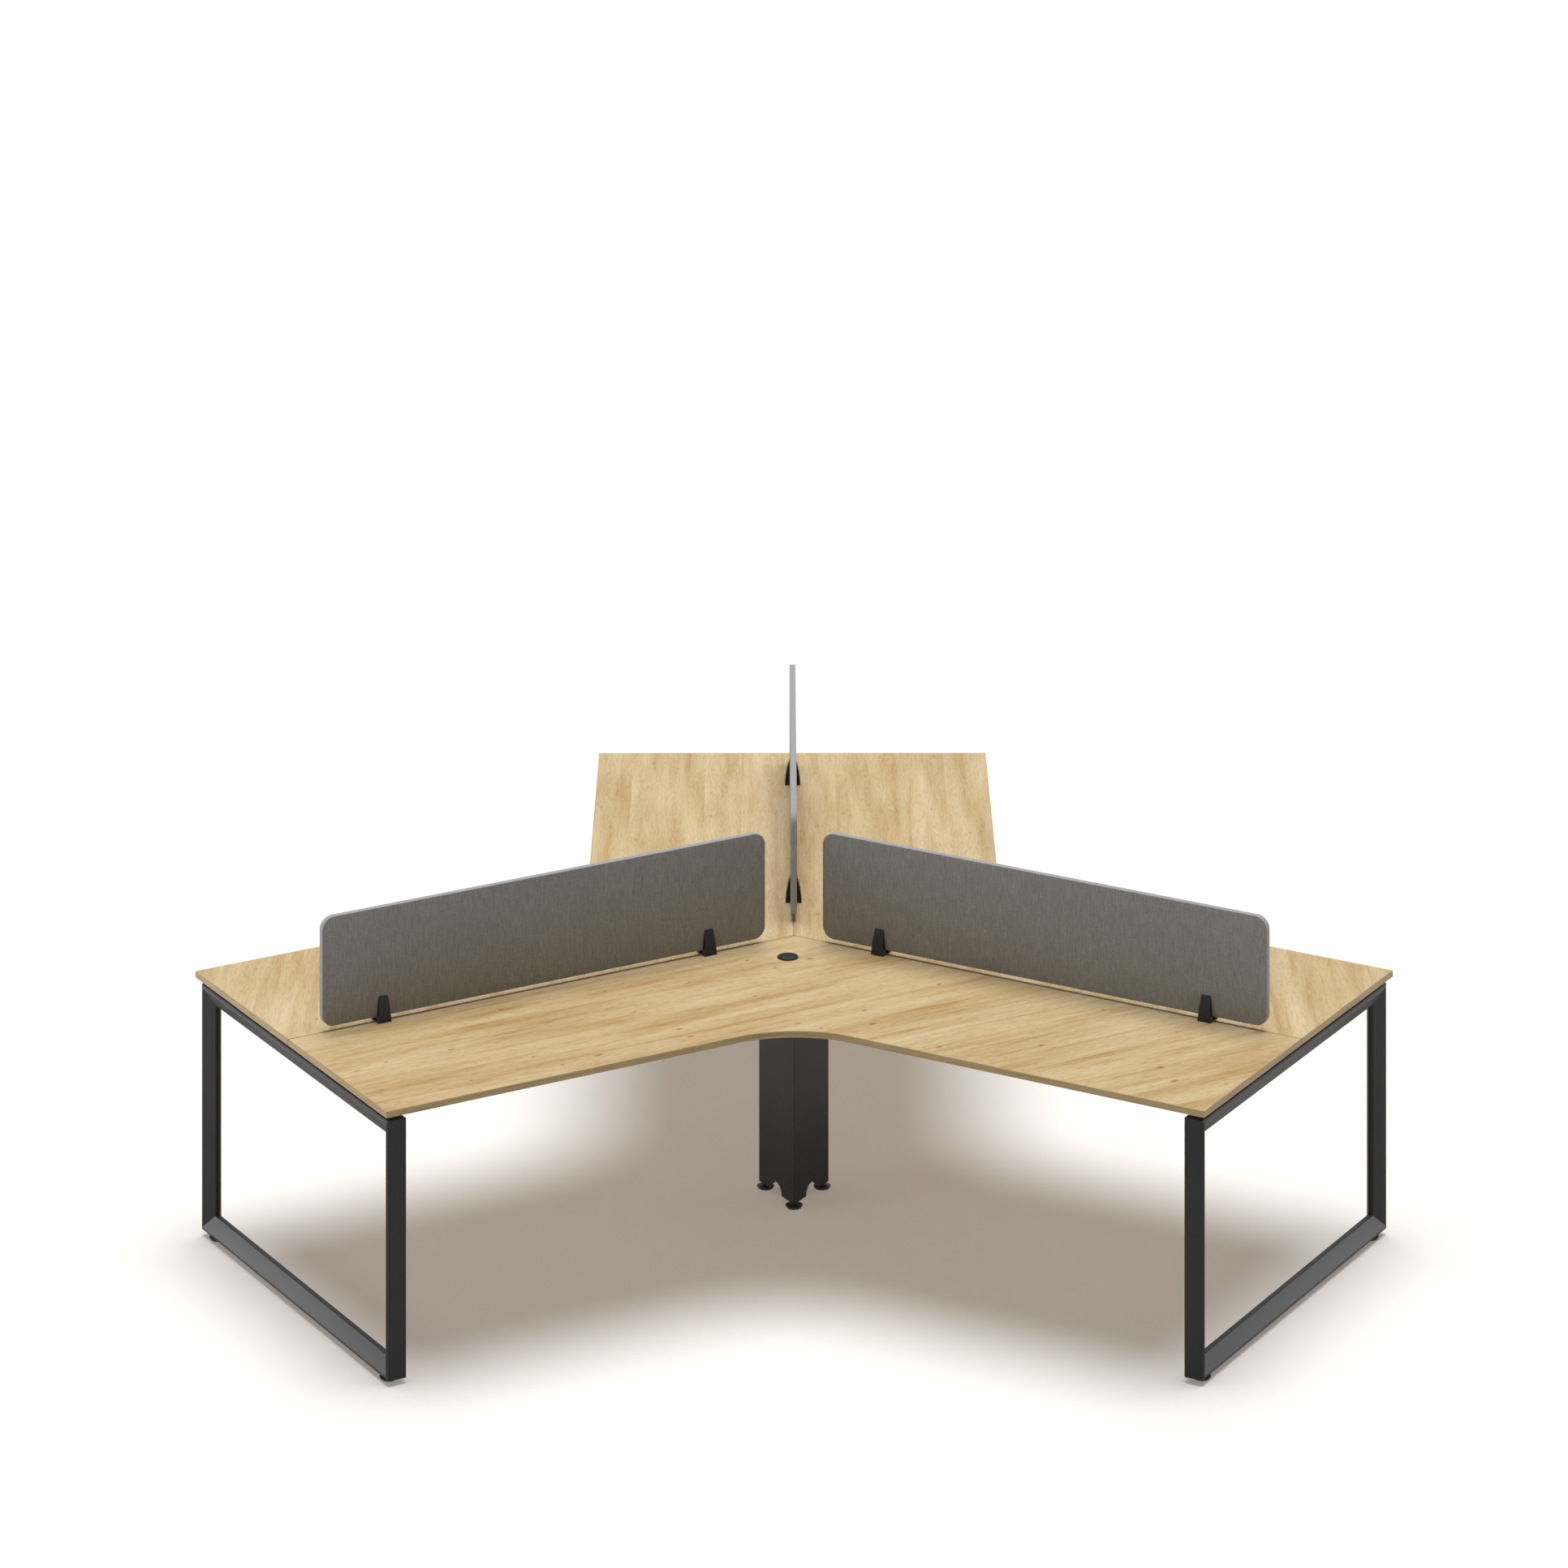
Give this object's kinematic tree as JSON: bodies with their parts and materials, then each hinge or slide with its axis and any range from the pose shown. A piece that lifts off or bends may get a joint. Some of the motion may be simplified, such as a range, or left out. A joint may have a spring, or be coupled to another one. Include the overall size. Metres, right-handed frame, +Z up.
{
  "type": "desk cluster",
  "caption": "Star-shaped desk cluster: boomerang worktops meet over a triangular post, carried on loop end frames, with fabric screens clamped along the seams.",
  "frame": {"origin": "on the floor, below the middle of the cluster's plan box", "axes": "+X to the right as the picture shows it, +Y away towards the back arm, +Z up"},
  "size_m": [3.3712, 2.9196, 1.055],
  "materials": {
    "oak_melamine_board": "light oak decor, satin",
    "oak_edge_band": "light oak decor edging, satin",
    "charcoal_powder_coat": "fine satin powder coat",
    "screen_fabric": "woven, warm grey",
    "clamp_nylon": "matt black",
    "grommet_plastic": "satin charcoal",
    "foot_plastic": "black moulded pad on a steel stud",
    "pad_rubber": "matt black",
    "zinc_steel": "zinc plated"
  },
  "bodies": {
    "cluster": {"back_beam_left": "charcoal_powder_coat", "back_beam_right": "charcoal_powder_coat", "back_frame_bottom_rail": "charcoal_powder_coat", "back_frame_left_leg": "charcoal_powder_coat", "back_frame_right_leg": "charcoal_powder_coat", "back_frame_top_rail": "charcoal_powder_coat", "clamp_anchors": "zinc_steel", "clamp_jaws_back": "clamp_nylon", "clamp_jaws_left": "clamp_nylon", "clamp_jaws_right": "clamp_nylon", "clamp_rests_back": "clamp_nylon", "clamp_rests_left": "clamp_nylon", "clamp_rests_right": "clamp_nylon", "edge_band_front": "oak_edge_band", "edge_band_left": "oak_edge_band", "edge_band_right": "oak_edge_band", "frame_foot_blocks": "zinc_steel", "frame_pads": "pad_rubber", "grommet_sleeve_front": "grommet_plastic", "grommet_sleeve_left": "grommet_plastic", "grommet_sleeve_right": "grommet_plastic", "left_beam_front": "charcoal_powder_coat", "left_beam_rear": "charcoal_powder_coat", "left_frame_bottom_rail": "charcoal_powder_coat", "left_frame_front_leg": "charcoal_powder_coat", "left_frame_rear_leg": "charcoal_powder_coat", "left_frame_top_rail": "charcoal_powder_coat", "post_foot_brackets": "charcoal_powder_coat", "post_head_pads": "pad_rubber", "post_head_plate": "charcoal_powder_coat", "post_shell": "charcoal_powder_coat", "post_tongues": "zinc_steel", "rail_tongues": "zinc_steel", "right_beam_front": "charcoal_powder_coat", "right_beam_rear": "charcoal_powder_coat", "right_frame_bottom_rail": "charcoal_powder_coat", "right_frame_front_leg": "charcoal_powder_coat", "right_frame_rear_leg": "charcoal_powder_coat", "right_frame_top_rail": "charcoal_powder_coat", "screen_back": "screen_fabric", "screen_left": "screen_fabric", "screen_right": "screen_fabric", "worktop_brackets": "charcoal_powder_coat", "worktop_front": "oak_melamine_board", "worktop_left": "oak_melamine_board", "worktop_right": "oak_melamine_board", "worktop_screws": "zinc_steel"},
    "back_frame_left_foot": {"back_frame_left_foot": "foot_plastic"},
    "back_frame_right_foot": {"back_frame_right_foot": "foot_plastic"},
    "left_frame_front_foot": {"left_frame_front_foot": "foot_plastic"},
    "left_frame_rear_foot": {"left_frame_rear_foot": "foot_plastic"},
    "post_front_foot": {"post_front_foot": "foot_plastic"},
    "post_left_foot": {"post_left_foot": "foot_plastic"},
    "post_right_foot": {"post_right_foot": "foot_plastic"},
    "right_frame_front_foot": {"right_frame_front_foot": "foot_plastic"},
    "right_frame_rear_foot": {"right_frame_rear_foot": "foot_plastic"},
    "grommet_cap_front": {"grommet_cap_front": "grommet_plastic"},
    "grommet_cap_left": {"grommet_cap_left": "grommet_plastic"},
    "grommet_cap_right": {"grommet_cap_right": "grommet_plastic"}
  },
  "joints": [
    {"name": "back_frame_left_foot_screw", "type": "slide", "parent": "cluster", "child": "back_frame_left_foot", "axis": [0, 0, -1], "range_m": [0, 0.015]},
    {"name": "back_frame_right_foot_screw", "type": "slide", "parent": "cluster", "child": "back_frame_right_foot", "axis": [0, 0, -1], "range_m": [0, 0.015]},
    {"name": "left_frame_front_foot_screw", "type": "slide", "parent": "cluster", "child": "left_frame_front_foot", "axis": [0, 0, -1], "range_m": [0, 0.015]},
    {"name": "left_frame_rear_foot_screw", "type": "slide", "parent": "cluster", "child": "left_frame_rear_foot", "axis": [0, 0, -1], "range_m": [0, 0.015]},
    {"name": "post_front_foot_screw", "type": "slide", "parent": "cluster", "child": "post_front_foot", "axis": [0, 0, -1], "range_m": [0, 0.015]},
    {"name": "post_left_foot_screw", "type": "slide", "parent": "cluster", "child": "post_left_foot", "axis": [0, 0, -1], "range_m": [0, 0.015]},
    {"name": "post_right_foot_screw", "type": "slide", "parent": "cluster", "child": "post_right_foot", "axis": [0, 0, -1], "range_m": [0, 0.015]},
    {"name": "right_frame_front_foot_screw", "type": "slide", "parent": "cluster", "child": "right_frame_front_foot", "axis": [0, 0, -1], "range_m": [0, 0.015]},
    {"name": "right_frame_rear_foot_screw", "type": "slide", "parent": "cluster", "child": "right_frame_rear_foot", "axis": [0, 0, -1], "range_m": [0, 0.015]},
    {"name": "grommet_cap_front_lift", "type": "slide", "parent": "cluster", "child": "grommet_cap_front", "axis": [0, 0, 1], "range_m": [0, 0.05]},
    {"name": "grommet_cap_left_lift", "type": "slide", "parent": "cluster", "child": "grommet_cap_left", "axis": [0, 0, 1], "range_m": [0, 0.05]},
    {"name": "grommet_cap_right_lift", "type": "slide", "parent": "cluster", "child": "grommet_cap_right", "axis": [0, 0, 1], "range_m": [0, 0.05]}
  ]
}
